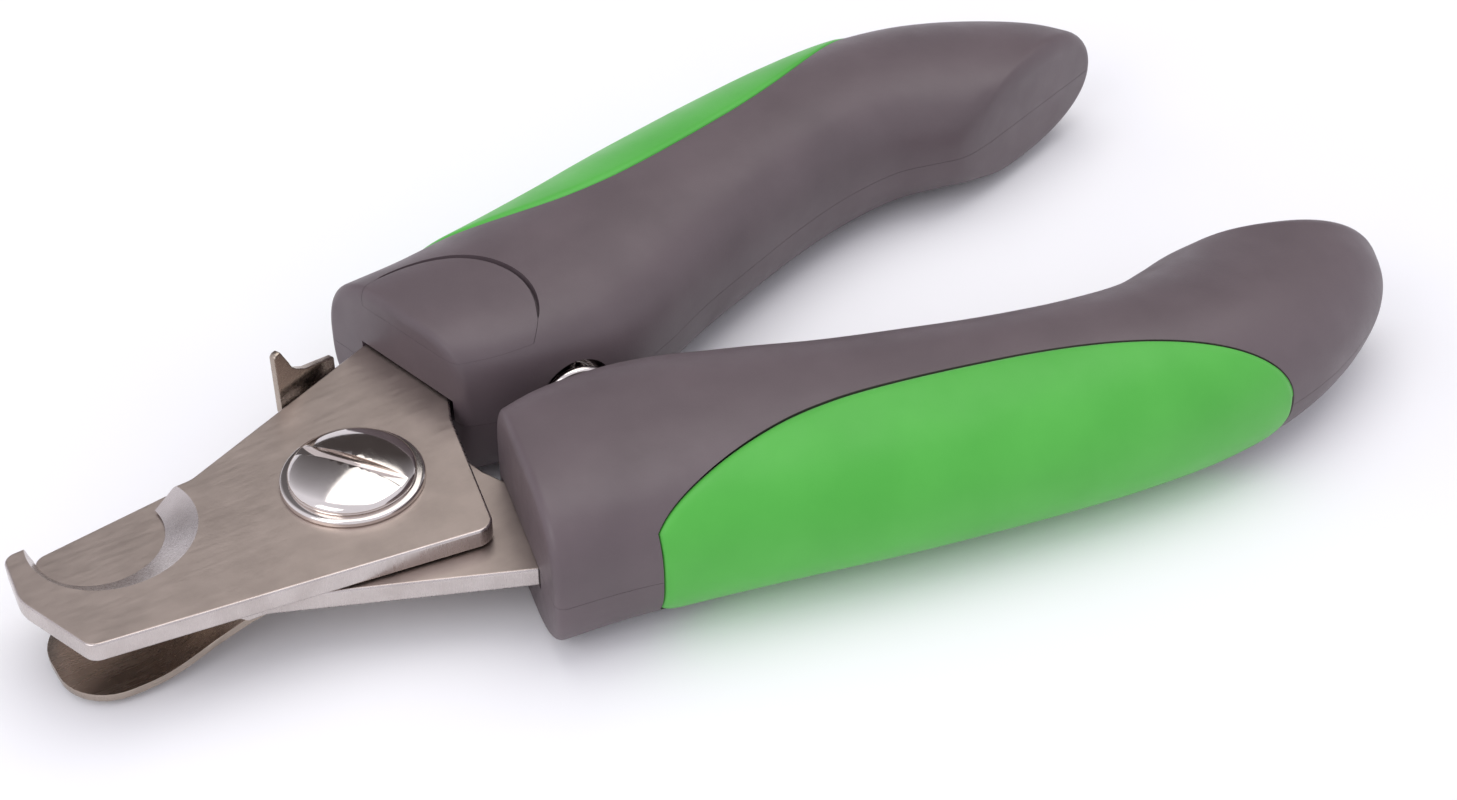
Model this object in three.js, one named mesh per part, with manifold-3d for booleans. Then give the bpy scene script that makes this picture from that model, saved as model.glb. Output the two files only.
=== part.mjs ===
// Scissor (plier) type pet nail clipper, closed, lying flat on its side.
// Millimetres, +Z up. The origin is on the pivot axis, on the surface that the clipper lies on.
// -X points at the cutting tips and +X at the handles. The upper blade belongs to the handle on +Y.
import * as THREE from "three";
import { mergeVertices } from "three/addons/utils/BufferGeometryUtils.js";
import Module from "manifold-3d";

const wasm = await Module();
wasm.setup();

// ---------- driving dimensions ----------

const MID = 8; // height of the plane between the two blades
const RISE = 9.6; // top of a handle above that plane
const DROP = MID; // underside of a handle below that plane
const END_RISE = 7.6; // the same two sizes at the hooked end
const END_DROP = 6.6;
const SHEET = 2.1; // blade stock
const RUNNING_GAP = 0.2; // between parts that slide on each other
const FIT_GAP = 0.3; // between parts that are assembled once

const BLADE_TOP = MID + RUNNING_GAP / 2 + SHEET;
const BLADE_LOW = MID - RUNNING_GAP / 2 - SHEET;

// Round cutting notch of the upper blade, as x, y and radius: the cutting edge is on the face that
// meets the other blade, and the ground bevel runs out on the outer face. It is widest at the rear.
const NOTCH_EDGE = [-23.3, 7, 6.2];
const NOTCH_BEVEL = [-22.3, 5.4, 8.1];
const NOTCH_SIDES = 48;

const PIVOT_RADIUS = 3;
const HEAD_RADIUS = 6.2;
const HEAD_RISE = 1.3;
const COLLAR_RADIUS = 7;
const COLLAR_THICKNESS = 0.7;
const SLOT_WIDTH = 1.3;
const SLOT_DEPTH = 0.9;
const SLOT_ANGLE = -0.97;

const GUARD_SHEET = 0.8;
const GUARD_TOP = BLADE_LOW - RUNNING_GAP;
const GUARD_DROP = 4.1; // joggle, from the pivot to the stop plate
const GUARD_HALF_WIDTH = 6.2;
const GUARD_END = -31.4;
const GUARD_REAR = 7.6; // just behind the pivot
const JOGGLE = [-22.8, -13.2]; // where the step starts and ends
const TAB_TOP = 15.6; // top of the guard's finger tab
const TAB_LENGTH = 8;
const TAB_ROOT = 4.6; // the tab is joined to the strip from here to its full length
const TAB_PLACE = [-0.9, 14.75]; // its front end, beside the far edge of the upper blade
const TAB_ANGLE = 0.403; // along that edge

const WASHER_RADIUS = 5.5;
const WASHER_THICKNESS = 0.6;
const NUT_ACROSS_FLATS = 9.8;
const NUT_BOTTOM = 0.4;

const SPRING_X = 25.5;
const SPRING_RADIUS = 3.4; // to the middle of the wire
const SPRING_WIRE = 1.1;
const SPRING_END_Y = 8.7; // each way from the middle plane
const SPRING_TURNS = 7;
const POCKET_RADIUS = 4.4;
const POCKET_DEPTH = 9;

const SHELL_PARTING = 0.2; // gap between the two shells of a handle
const COVER_CENTRE = [15.5, 10.2]; // round end of the tang cover
const COVER_RADIUS = 9.4;
const COVER_DEPTH = 2.2;
const INLAY_PROUD = 0.25;
const INLAY_DEPTH = 1.8;

const TANG_PINS = [
  [24, 15],
  [43, 20.3],
];
const TANG_PIN_RADIUS = 1.5;
const TANG_PIN_HALF_LENGTH = 5;
const PIN_SIDES = 16;

// ---------- solids ----------

function toSolid(geometry) {
  const bare = geometry.clone();
  bare.deleteAttribute("normal");
  bare.deleteAttribute("uv");
  const merged = mergeVertices(bare, 1e-4);
  return new wasm.Manifold(
    new wasm.Mesh({
      numProp: 3,
      vertProperties: merged.attributes.position.array,
      triVerts: new Uint32Array(merged.index.array),
    }),
  );
}

function toGeometry(solid) {
  const mesh = solid.getMesh();
  return new THREE.BufferGeometry()
    .setAttribute("position", new THREE.BufferAttribute(mesh.vertProperties, 3))
    .setIndex(new THREE.BufferAttribute(mesh.triVerts, 1));
}

// A flat plate with the given outline, between two heights.
function plate(shape, low, high, curveSegments = 12) {
  const geometry = new THREE.ExtrudeGeometry(shape, {
    depth: high - low,
    bevelEnabled: false,
    curveSegments,
  });
  return geometry.translate(0, 0, low);
}

function box(x0, x1, y0, y1, z0, z1) {
  return new THREE.BoxGeometry(x1 - x0, y1 - y0, z1 - z0).translate(
    (x0 + x1) / 2,
    (y0 + y1) / 2,
    (z0 + z1) / 2,
  );
}

// A round post along Z.
function post(x, y, radius, low, high, sides) {
  return new THREE.CylinderGeometry(radius, radius, high - low, sides)
    .rotateX(Math.PI / 2)
    .translate(x, y, (low + high) / 2);
}

// A turned piece about Z, from [radius, height] points that start and end on the axis or close.
function turned(points, sides = 32) {
  const profile = points.map(([r, z]) => new THREE.Vector2(r, z));
  return new THREE.LatheGeometry(profile, sides).rotateX(Math.PI / 2);
}

// An outline from points, each with an optional corner radius.
function roundedShape(points) {
  const shape = new THREE.Shape();
  points.forEach(([x, y, radius = 0], i) => {
    const here = new THREE.Vector2(x, y);
    const before = points.at(i - 1);
    const after = points[(i + 1) % points.length];
    const back = new THREE.Vector2(before[0], before[1]).sub(here);
    const ahead = new THREE.Vector2(after[0], after[1]).sub(here);
    const half = Math.acos(back.clone().normalize().dot(ahead.clone().normalize())) / 2;
    const cut = radius / Math.tan(half);
    const start = here.clone().add(back.setLength(cut));
    const end = here.clone().add(ahead.setLength(cut));
    if (i === 0) shape.moveTo(start.x, start.y);
    else shape.lineTo(start.x, start.y);
    if (radius) shape.quadraticCurveTo(x, y, end.x, end.y);
  });
  shape.closePath();
  return shape;
}

// The mirror image of a piece across the plane y = 0.
function mirrored(geometry) {
  const index = geometry.index.array;
  for (let i = 0; i < index.length; i += 3) index.subarray(i + 1, i + 3).reverse();
  return geometry.scale(1, -1, 1);
}

// ---------- materials ----------

const paint = (color, roughness, metalness) =>
  new THREE.MeshStandardMaterial({ color, roughness, metalness });
const STEEL = [0xa69a95, 0.38, 1];
const CHROME = [0xe4dfdd, 0.12, 1];
const DARK_STEEL = [0x6f6a68, 0.45, 1];
const PLASTIC = [0x655b60, 0.55, 0];
const GREEN = [0x4fae48, 0.5, 0];

const clipper = new THREE.Group();

function addPiece(name, geometry, finish) {
  geometry.computeVertexNormals();
  const mesh = new THREE.Mesh(geometry, paint(...finish));
  mesh.name = name;
  clipper.add(mesh);
}

// ---------- blades ----------

// A blade from its near tip corner round the near back edge to the tang and the far back edge.
const BLADE_BACK = [
  [-29.6, -8.1, 1.6],
  [8.4, -13.3, 1.8],
  [12.2, 3.2, 0.6],
  [15.2, 9.9, 0.8],
  [22, 11, 1.5],
  [50, 18.8, 2],
  [48.4, 24.4, 2],
  [22, 18.6, 1.5],
  [10, 18.4, 0.5],
  [-13.2, 8.35, 3],
];
const UPPER_BLADE = [...BLADE_BACK, [-32.2, 7.4, 1.3], [-32.9, 1, 5]];
// The lower blade has a shorter tip, which stays under the upper one.
const LOWER_BLADE = [...BLADE_BACK, [-28.6, 7.6, 1.2], [-30, 0, 3]];

// A slanting cone through the cutting edge and the rim of the bevel, carried on past both faces.
function notchCutter() {
  const edge = MID + RUNNING_GAP / 2;
  const circle = (height, share) => {
    const [x, y, radius] = NOTCH_EDGE.map((from, i) => from + (NOTCH_BEVEL[i] - from) * share);
    return Array.from({ length: NOTCH_SIDES }, (_, j) => {
      const turn = (2 * Math.PI * j) / NOTCH_SIDES;
      return new THREE.Vector3(x + radius * Math.cos(turn), y + radius * Math.sin(turn), height);
    });
  };
  const past = 1;
  return loft([circle(edge - past, 0), circle(edge, 0), circle(edge + SHEET + past, 1 + past / SHEET)]);
}

function bladeSolid(outline) {
  let blade = toSolid(plate(roundedShape(outline), MID + RUNNING_GAP / 2, BLADE_TOP, 4));
  blade = blade.subtract(toSolid(notchCutter()));
  const bore = PIVOT_RADIUS + RUNNING_GAP / 2;
  blade = blade.subtract(toSolid(post(0, 0, bore, MID - 1, BLADE_TOP + 1, 32)));
  for (const [x, y] of TANG_PINS) {
    const hole = post(x, y, TANG_PIN_RADIUS + FIT_GAP, MID - 1, BLADE_TOP + 1, PIN_SIDES);
    blade = blade.subtract(toSolid(hole));
  }
  return blade;
}

// Turns a piece over about the length of the tool, at the plane between the blades.
const turnOver = (geometry) =>
  geometry.translate(0, 0, -MID).rotateX(Math.PI).translate(0, 0, MID);

addPiece("upper_blade", toGeometry(bladeSolid(UPPER_BLADE)), STEEL);
addPiece("lower_blade", turnOver(toGeometry(bladeSolid(LOWER_BLADE))), STEEL);

// ---------- pivot ----------

function pivotScrew() {
  const seat = BLADE_TOP + COLLAR_THICKNESS + 0.02;
  const rim = seat + 0.5;
  const crown = rim + HEAD_RISE;
  const body = turned(
    [
      [0, 0],
      [PIVOT_RADIUS - 0.5, 0],
      [PIVOT_RADIUS, 0.5],
      [PIVOT_RADIUS, seat],
      [HEAD_RADIUS, seat],
      [HEAD_RADIUS, rim],
      [HEAD_RADIUS * 0.86, rim + HEAD_RISE * 0.5],
      [HEAD_RADIUS * 0.55, rim + HEAD_RISE * 0.87],
      [0, crown],
    ],
    40,
  );
  const slot = box(-HEAD_RADIUS - 1, HEAD_RADIUS + 1, -SLOT_WIDTH / 2, SLOT_WIDTH / 2, 0, 5)
    .rotateZ(SLOT_ANGLE)
    .translate(0, 0, crown - SLOT_DEPTH);
  return toGeometry(toSolid(body).subtract(toSolid(slot)));
}

// A flat ring about the pivot axis.
function ring(inner, outer, low, high, sides = 36) {
  const shape = new THREE.Shape().absarc(0, 0, outer, 0, 2 * Math.PI);
  shape.holes.push(new THREE.Path().absarc(0, 0, inner, 0, 2 * Math.PI, true));
  return plate(shape, low, high, sides / 2);
}

function lockNut() {
  const top = GUARD_TOP - GUARD_SHEET - RUNNING_GAP - WASHER_THICKNESS - RUNNING_GAP;
  const corner = NUT_ACROSS_FLATS / Math.sqrt(3);
  const hexagon = new THREE.Shape(
    Array.from({ length: 6 }, (_, i) => {
      const turn = (i * Math.PI) / 3;
      return new THREE.Vector2(corner * Math.cos(turn), corner * Math.sin(turn));
    }),
  );
  const bore = new THREE.Path().absarc(0, 0, PIVOT_RADIUS + 0.05, 0, 2 * Math.PI, true);
  hexagon.holes.push(bore);
  return plate(hexagon, NUT_BOTTOM, top, 16);
}

const BORE = PIVOT_RADIUS + 0.15;
addPiece("pivot_screw", pivotScrew(), CHROME);
addPiece("screw_collar", ring(BORE, COLLAR_RADIUS, BLADE_TOP, BLADE_TOP + COLLAR_THICKNESS), CHROME);
const WASHER_TOP = GUARD_TOP - GUARD_SHEET - RUNNING_GAP;
addPiece("friction_washer", ring(BORE, WASHER_RADIUS, WASHER_TOP - WASHER_THICKNESS, WASHER_TOP), DARK_STEEL);
addPiece("lock_nut", lockNut(), CHROME);

// ---------- safety guard ----------

// A sheet strip whose side profile steps down in front of the pivot, with a rounded end,
// and a finger tab that stands up beside the far edge of the upper blade.
function guardStrip() {
  const low = GUARD_TOP - GUARD_SHEET;
  const side = new THREE.Shape();
  const [front, back] = JOGGLE;
  const lead = 0.4; // keeps the slope as thick as the sheet
  side.moveTo(GUARD_REAR + 1, low);
  side.lineTo(GUARD_REAR + 1, GUARD_TOP);
  side.lineTo(back, GUARD_TOP);
  side.lineTo(front, GUARD_TOP - GUARD_DROP);
  side.lineTo(GUARD_END - 1, GUARD_TOP - GUARD_DROP);
  side.lineTo(GUARD_END - 1, low - GUARD_DROP);
  side.lineTo(front - lead, low - GUARD_DROP);
  side.lineTo(back - lead, low);
  side.closePath();
  const width = 60; // wider than the plan outline that trims it
  return new THREE.ExtrudeGeometry(side, { depth: width, bevelEnabled: false })
    .rotateX(Math.PI / 2)
    .translate(0, width / 2, 0);
}

function guardPlan() {
  const w = GUARD_HALF_WIDTH;
  return roundedShape([
    [GUARD_END, -w, 5.2],
    [-18, -w - 0.4, 4],
    [-6, -7.6, 4],
    [GUARD_REAR, -7.6, 7],
    [GUARD_REAR, 7.6, 5],
    [7.2, 19.6, 0.5], // the ear that carries the tab
    [-0.6, 16.2, 0.5],
    [-6, 7.4, 3],
    [-18, w + 0.4, 4],
    [GUARD_END, w, 5.2],
  ]);
}

function guardTab() {
  const low = GUARD_TOP - GUARD_SHEET;
  const clear = MID - RUNNING_GAP / 2 + FIT_GAP; // just over the lower blade
  const face = new THREE.Shape();
  face.moveTo(TAB_ROOT, low);
  face.lineTo(TAB_LENGTH, low);
  face.lineTo(TAB_LENGTH, BLADE_TOP + 0.2);
  face.lineTo(5.6, BLADE_TOP + 0.9);
  face.quadraticCurveTo(2.4, BLADE_TOP + 1.6, 1.9, BLADE_TOP + 3.4);
  face.lineTo(0.9, TAB_TOP);
  face.lineTo(0, TAB_TOP - 0.3);
  face.lineTo(0, clear);
  face.lineTo(TAB_ROOT, clear);
  face.closePath();
  return new THREE.ExtrudeGeometry(face, { depth: GUARD_SHEET, bevelEnabled: false })
    .rotateX(Math.PI / 2)
    .translate(0, GUARD_SHEET, 0)
    .rotateZ(TAB_ANGLE)
    .translate(...TAB_PLACE, 0);
}

function safetyGuard() {
  let guard = toSolid(guardStrip()).intersect(toSolid(plate(guardPlan(), -1, 30, 8)));
  guard = guard.add(toSolid(guardTab()));
  return toGeometry(guard.subtract(toSolid(post(0, 0, BORE, 0, 12, 32))));
}

addPiece("safety_guard", safetyGuard(), STEEL);

// ---------- handles ----------

// Plan rails of the far handle at mid height: the inner side faces the other handle.
const INNER_RAIL = [
  [13.7, 3.4],
  [19, 2.0],
  [27, 1.6],
  [33, 2.4],
  [38, 4.4],
  [45, 7.8],
  [53, 11.0],
  [61, 14.0],
  [69, 16.3],
  [76.5, 17.2],
  [81, 16.4],
  [84.5, 15.7],
  [88, 16.2],
];
const OUTER_RAIL = [
  [8.6, 24.4],
  [16, 25.6],
  [25, 28.0],
  [34, 30.6],
  [43, 33.0],
  [52, 34.9],
  [61, 36.6],
  [70, 37.9],
  [80, 38.5],
  [90, 37.4],
  [99, 34.3],
  [106.5, 29.5],
  [110.3, 23.6],
];
const SECTION_SIDES = 24;
const SECTIONS = 28;
const END_START = 0.62; // station where the handle starts to get flatter
const INNER_SQUARENESS = [4.2, 2.5]; // exponent of the section, at the front and along the grip
const OUTER_SQUARENESS = [2.7, 2.2];

const railCurve = (points) =>
  new THREE.CatmullRomCurve3(points.map(([x, y]) => new THREE.Vector3(x, y, 0)), false, "centripetal");
const innerCurve = railCurve(INNER_RAIL);
const outerCurve = railCurve(OUTER_RAIL);

const { lerp, smoothstep, degToRad } = THREE.MathUtils;

// A point on the handle at station t (0 front, 1 end) and angle phi about the section,
// where phi 0 is the outer side and 90 degrees the top. grow swells the section by millimetres.
function handlePoint(t, phi, grow = 0) {
  const inner = innerCurve.getPoint(t);
  const outer = outerCurve.getPoint(t);
  const across = outer.clone().sub(inner);
  const halfWidth = across.length() / 2 + grow;
  const flattening = smoothstep(t, END_START, 1);
  const isTop = Math.sin(phi) > 0;
  const height = isTop ? lerp(RISE, END_RISE, flattening) : lerp(DROP, END_DROP, flattening);
  const squareness = Math.cos(phi) > 0 ? OUTER_SQUARENESS : INNER_SQUARENESS;
  const n = lerp(...squareness, smoothstep(t, 0, 0.3));
  const swing = (c) => Math.sign(c) * Math.abs(c) ** (2 / n);
  const centre = inner.add(outer).multiplyScalar(0.5);
  return centre
    .addScaledVector(across.normalize(), halfWidth * swing(Math.cos(phi)))
    .add(new THREE.Vector3(0, 0, MID + (height + grow) * swing(Math.sin(phi))));
}

// A closed skin through rings of points, with a fan at each end.
function loft(rings) {
  const count = rings[0].length;
  const positions = rings.flat().flatMap((p) => [p.x, p.y, p.z]);
  const index = [];
  for (let i = 0; i + 1 < rings.length; i++)
    for (let j = 0; j < count; j++) {
      const a = i * count + j;
      const b = i * count + ((j + 1) % count);
      index.push(a, b, b + count, a, b + count, a + count);
    }
  for (const [ringIndex, flip] of [
    [0, true],
    [rings.length - 1, false],
  ]) {
    const middle = rings[ringIndex]
      .reduce((sum, p) => sum.add(p), new THREE.Vector3())
      .divideScalar(count);
    const hub = positions.length / 3;
    positions.push(middle.x, middle.y, middle.z);
    for (let j = 0; j < count; j++) {
      const a = ringIndex * count + j;
      const b = ringIndex * count + ((j + 1) % count);
      index.push(...(flip ? [hub, b, a] : [hub, a, b]));
    }
  }
  return new THREE.BufferGeometry()
    .setAttribute("position", new THREE.Float32BufferAttribute(positions, 3))
    .setIndex(index);
}

// The whole outer body of the far handle. Each [t, grow] station of its ends rounds them over.
function handleBody() {
  const front = [
    [0, -1.1],
    [0.004, -0.35],
    [0.012, 0],
  ];
  const end = [
    [0.988, -0.3],
    [1, -1.2],
  ];
  const [first] = front.at(-1);
  const span = 0.97;
  const middle = Array.from({ length: SECTIONS - 1 }, (_, i) => [first + ((i + 1) / SECTIONS) * span, 0]);
  const stations = [...front, ...middle, ...end];
  const rings = stations.map(([t, grow]) =>
    Array.from({ length: SECTION_SIDES }, (_, j) =>
      handlePoint(t, (2 * Math.PI * (j + 0.5)) / SECTION_SIDES, grow),
    ),
  );
  return loft(rings);
}

// The soft inlay wraps round the outer side, as far up as down. Its front edge is straight,
// it is widest towards the rear, and its rear end is round.
const INLAY_START = 0.112;
const INLAY_WIDEST = 0.483;
const INLAY_END = 0.715;
const INLAY_WRAP = degToRad(84); // each way from the outer side, where it is widest
const INLAY_STATIONS = 18;
const INLAY_ARCS = 8;

// How far the inlay wraps up and down at station t.
function inlayWrap(t) {
  const ahead = (0.975 * (INLAY_WIDEST - t)) / (INLAY_WIDEST - INLAY_START);
  const behind = (0.99 * (t - INLAY_WIDEST)) / (INLAY_END - INLAY_WIDEST);
  return INLAY_WRAP * (ahead > 0 ? (1 - ahead ** 2) ** 0.38 : (1 - behind ** 3) ** 0.5);
}

// A thick patch of the handle's surface in the inlay's outline, widened by a margin in millimetres.
function inlayPatch(outward, inward, margin) {
  const angleMargin = margin * 0.09;
  const stationMargin = margin * 0.01;
  const rings = [];
  for (let i = 0; i <= INLAY_STATIONS; i++) {
    const s = (1 - Math.cos((Math.PI * i) / INLAY_STATIONS)) / 2;
    const wrap = inlayWrap(lerp(INLAY_START, INLAY_END, s)) + angleMargin;
    const t = lerp(INLAY_START - stationMargin, INLAY_END + stationMargin, s);
    const arc = Array.from({ length: INLAY_ARCS + 1 }, (_, j) => wrap * ((2 * j) / INLAY_ARCS - 1));
    const skin = arc.map((phi) => handlePoint(t, phi, outward));
    const back = arc.map((phi) => handlePoint(t, phi, -inward));
    rings.push([...skin, ...back.reverse()]);
  }
  return loft(rings);
}

function coverZone(radius, low, high) {
  return toSolid(post(...COVER_CENTRE, radius, low, high, 40));
}

// An outline moved outwards by a margin, for a slot that clears the piece inside it.
function widened(points, margin) {
  return points.map(([x, y, radius], i) => {
    const here = new THREE.Vector2(x, y);
    const before = points.at(i - 1);
    const after = points[(i + 1) % points.length];
    const arriving = here.clone().sub(new THREE.Vector2(before[0], before[1])).normalize();
    const leaving = new THREE.Vector2(after[0], after[1]).sub(here).normalize();
    const normalIn = new THREE.Vector2(arriving.y, -arriving.x);
    const normalOut = new THREE.Vector2(leaving.y, -leaving.x);
    const bisector = normalIn.clone().add(normalOut).normalize();
    here.addScaledVector(bisector, margin / bisector.dot(normalIn));
    return [here.x, here.y, radius];
  });
}

// Slot for the tang, from the parting plane to a little past the blade's face at reach.
function tangSlot(reach) {
  const slot = roundedShape(widened(UPPER_BLADE, FIT_GAP));
  const ends = [MID - Math.sign(reach) * 0.5, MID + reach + Math.sign(reach) * FIT_GAP];
  return toSolid(plate(slot, Math.min(...ends), Math.max(...ends), 4));
}

function springPocket() {
  const pocket = new THREE.CylinderGeometry(POCKET_RADIUS, POCKET_RADIUS, POCKET_DEPTH * 2, 24);
  return toSolid(pocket.translate(SPRING_X, 0, MID));
}

function pinHoles(solid) {
  let cut = solid;
  for (const [x, y] of TANG_PINS) {
    const reach = TANG_PIN_HALF_LENGTH + FIT_GAP;
    const hole = post(x, y, TANG_PIN_RADIUS + FIT_GAP, MID - reach, MID + reach, PIN_SIDES);
    cut = cut.subtract(toSolid(hole));
  }
  return cut;
}

const ROOM = [-10, 140, -10, 60]; // x and y limits of a box that holds a whole handle

// The pieces of a handle on +Y. side is 1 where the blade lies in the upper shell, else -1.
function handlePieces(side) {
  const whole = toSolid(handleBody());
  const recess = toSolid(inlayPatch(2, INLAY_DEPTH + FIT_GAP, FIT_GAP));
  const body = pinHoles(whole.subtract(recess)).subtract(springPocket());
  const half = SHELL_PARTING / 2;
  const above = toSolid(box(...ROOM, MID + half, MID + 2 * RISE));
  const below = toSolid(box(...ROOM, MID - 2 * DROP, MID - half));
  const face = side > 0 ? MID + RISE : MID - DROP;
  const coverSpan = (depth) => [face - side * depth, face + side * 5].sort((a, b) => a - b);
  const coverHole = coverZone(COVER_RADIUS + FIT_GAP / 2, ...coverSpan(COVER_DEPTH + FIT_GAP));
  const cover = whole.intersect(coverZone(COVER_RADIUS - FIT_GAP / 2, ...coverSpan(COVER_DEPTH)));
  const cutShell = (shell) => shell.subtract(tangSlot(side * (BLADE_TOP - MID))).subtract(coverHole);
  const upper = body.intersect(above);
  const lower = body.intersect(below);
  return {
    upper_shell: toGeometry(side > 0 ? cutShell(upper) : upper),
    lower_shell: toGeometry(side > 0 ? lower : cutShell(lower)),
    tang_cover: toGeometry(cover),
    grip_inlay: toGeometry(toSolid(inlayPatch(INLAY_PROUD, INLAY_DEPTH, 0))),
  };
}

const far = handlePieces(1);
addPiece("far_handle_upper_shell", far.upper_shell, PLASTIC);
addPiece("far_handle_lower_shell", far.lower_shell, PLASTIC);
addPiece("far_tang_cover", far.tang_cover, PLASTIC);
addPiece("far_grip_inlay", far.grip_inlay, GREEN);

const near = handlePieces(-1);
addPiece("near_handle_upper_shell", mirrored(near.upper_shell), PLASTIC);
addPiece("near_handle_lower_shell", mirrored(near.lower_shell), PLASTIC);
addPiece("near_tang_cover", mirrored(near.tang_cover), PLASTIC);
addPiece("near_grip_inlay", mirrored(near.grip_inlay), GREEN);

const pinEnds = [MID - TANG_PIN_HALF_LENGTH, MID + TANG_PIN_HALF_LENGTH];
TANG_PINS.forEach(([x, y], i) => {
  const place = ["front", "rear"][i];
  addPiece(`far_tang_pin_${place}`, post(x, y, TANG_PIN_RADIUS, ...pinEnds, PIN_SIDES), DARK_STEEL);
  addPiece(`near_tang_pin_${place}`, post(x, -y, TANG_PIN_RADIUS, ...pinEnds, PIN_SIDES), DARK_STEEL);
});

// ---------- return spring ----------

function returnSpring() {
  const turns = SPRING_TURNS;
  const length = 2 * (SPRING_END_Y - SPRING_WIRE / 2);
  class Helix extends THREE.Curve {
    getPoint(t, target = new THREE.Vector3()) {
      const turn = 2 * Math.PI * turns * t + Math.PI / 2;
      return target.set(
        SPRING_X + SPRING_RADIUS * Math.cos(turn),
        (t - 0.5) * length,
        MID + SPRING_RADIUS * Math.sin(turn),
      );
    }
  }
  const section = new THREE.Shape().absarc(0, 0, SPRING_WIRE / 2, 0, 2 * Math.PI);
  return new THREE.ExtrudeGeometry(section, {
    extrudePath: new Helix(),
    steps: turns * 10,
    curveSegments: 3,
    bevelEnabled: false,
  });
}

addPiece("return_spring", returnSpring(), CHROME);

export default clipper;
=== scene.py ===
import math

import bmesh
import bpy
import numpy as np
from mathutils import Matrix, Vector
from mathutils.bvhtree import BVHTree
from mathutils.interpolate import poly_3d_calc


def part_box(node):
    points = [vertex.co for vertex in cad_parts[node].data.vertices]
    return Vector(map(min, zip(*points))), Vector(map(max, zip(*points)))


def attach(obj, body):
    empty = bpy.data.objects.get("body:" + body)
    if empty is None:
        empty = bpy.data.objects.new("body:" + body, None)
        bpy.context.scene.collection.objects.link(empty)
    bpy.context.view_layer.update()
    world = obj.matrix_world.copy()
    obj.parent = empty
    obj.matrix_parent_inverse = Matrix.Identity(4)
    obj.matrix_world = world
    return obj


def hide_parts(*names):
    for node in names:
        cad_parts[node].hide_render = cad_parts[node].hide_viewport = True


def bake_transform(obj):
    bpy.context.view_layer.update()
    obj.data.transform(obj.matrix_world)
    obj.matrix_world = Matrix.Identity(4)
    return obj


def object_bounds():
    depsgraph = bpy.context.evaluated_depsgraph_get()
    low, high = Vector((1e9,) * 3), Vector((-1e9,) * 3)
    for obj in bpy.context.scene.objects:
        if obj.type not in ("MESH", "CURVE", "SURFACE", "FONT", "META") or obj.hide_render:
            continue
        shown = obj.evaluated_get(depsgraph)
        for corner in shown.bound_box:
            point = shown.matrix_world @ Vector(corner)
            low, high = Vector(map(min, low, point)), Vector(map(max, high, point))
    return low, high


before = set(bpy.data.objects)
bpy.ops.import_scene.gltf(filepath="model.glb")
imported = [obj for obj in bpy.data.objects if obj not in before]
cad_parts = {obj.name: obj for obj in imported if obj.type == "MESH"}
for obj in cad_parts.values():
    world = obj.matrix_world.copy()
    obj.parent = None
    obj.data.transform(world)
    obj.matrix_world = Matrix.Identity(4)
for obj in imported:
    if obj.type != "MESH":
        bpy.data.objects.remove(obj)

CAD_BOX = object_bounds()

# Sizes are in millimetres until a mesh is made. The places come from the frame where it has them.
MM = 0.001


def top_of(node):
    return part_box(node)[1][2] / MM


def bottom_of(node):
    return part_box(node)[0][2] / MM


BLADE_TOP = top_of("upper_blade")
BLADE_LOW = bottom_of("lower_blade")
SHEET = BLADE_TOP - bottom_of("upper_blade")
# The plane where the blades meet and the shells part.
MID = (BLADE_TOP + BLADE_LOW) / 2
# How far the handles reach above and below that plane, along their length and at the hook end.
RISE = 9.6
DROP = MID
END_RISE = 7.6
END_DROP = 6.6
# The handles, with the side of the plane that the tang cover of each is on while it is being built.
SIDES = {"far": 1, "near": -1}
# How far a cutting tool carries on past the faces that it cuts.
BEYOND = 1.0

# ---------- mesh helpers ----------


def mesh_object(name, points, faces, smooth=True):
    """A mesh object from points in millimetres."""
    mesh = bpy.data.meshes.new(name)
    mesh.from_pydata([tuple(p) for p in np.asarray(points, float) * MM], [], faces)
    mesh.validate()
    mesh.update()
    mesh.polygons.foreach_set("use_smooth", [smooth] * len(mesh.polygons))
    obj = bpy.data.objects.new(name, mesh)
    bpy.context.collection.objects.link(obj)
    return obj


def loft(name, rings):
    """A closed skin through rings of points, with a fan at each end."""
    rings = np.asarray(rings, float)
    stations, count = rings.shape[:2]
    points = list(rings.reshape(-1, 3)) + [rings[0].mean(axis=0), rings[-1].mean(axis=0)]
    faces = []
    for j in range(count):
        after = (j + 1) % count
        for i in range(stations - 1):
            low, high = i * count, (i + 1) * count
            faces.append((low + j, low + after, high + after, high + j))
        last = (stations - 1) * count
        faces.append((stations * count, after, j))
        faces.append((stations * count + 1, last + j, last + after))
    return outward(mesh_object(name, points, faces))


def thick_patch(name, front, back):
    """A closed body between two grids of points that face each other."""
    stations, count = front.shape[:2]
    points = np.concatenate([front.reshape(-1, 3), back.reshape(-1, 3)])
    under = stations * count

    def cell(i, j):
        return (i * count + j, i * count + j + 1, (i + 1) * count + j + 1, (i + 1) * count + j)

    faces = []
    for i in range(stations - 1):
        for j in range(count - 1):
            faces.append(cell(i, j))
            faces.append(tuple(under + v for v in reversed(cell(i, j))))
    rim = [(0, j) for j in range(count)] + [(i, count - 1) for i in range(1, stations)]
    rim += [(stations - 1, j) for j in range(count - 2, -1, -1)]
    rim += [(i, 0) for i in range(stations - 2, 0, -1)]
    edge = [i * count + j for i, j in rim]
    for here, after in zip(edge, edge[1:] + edge[:1]):
        faces.append((after, here, under + here, under + after))
    return outward(mesh_object(name, points, faces))


def circle(x, y, radius, sides):
    angles = np.linspace(0, 2 * math.pi, sides, endpoint=False)
    return [(x + radius * math.cos(a), y + radius * math.sin(a)) for a in angles]


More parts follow.
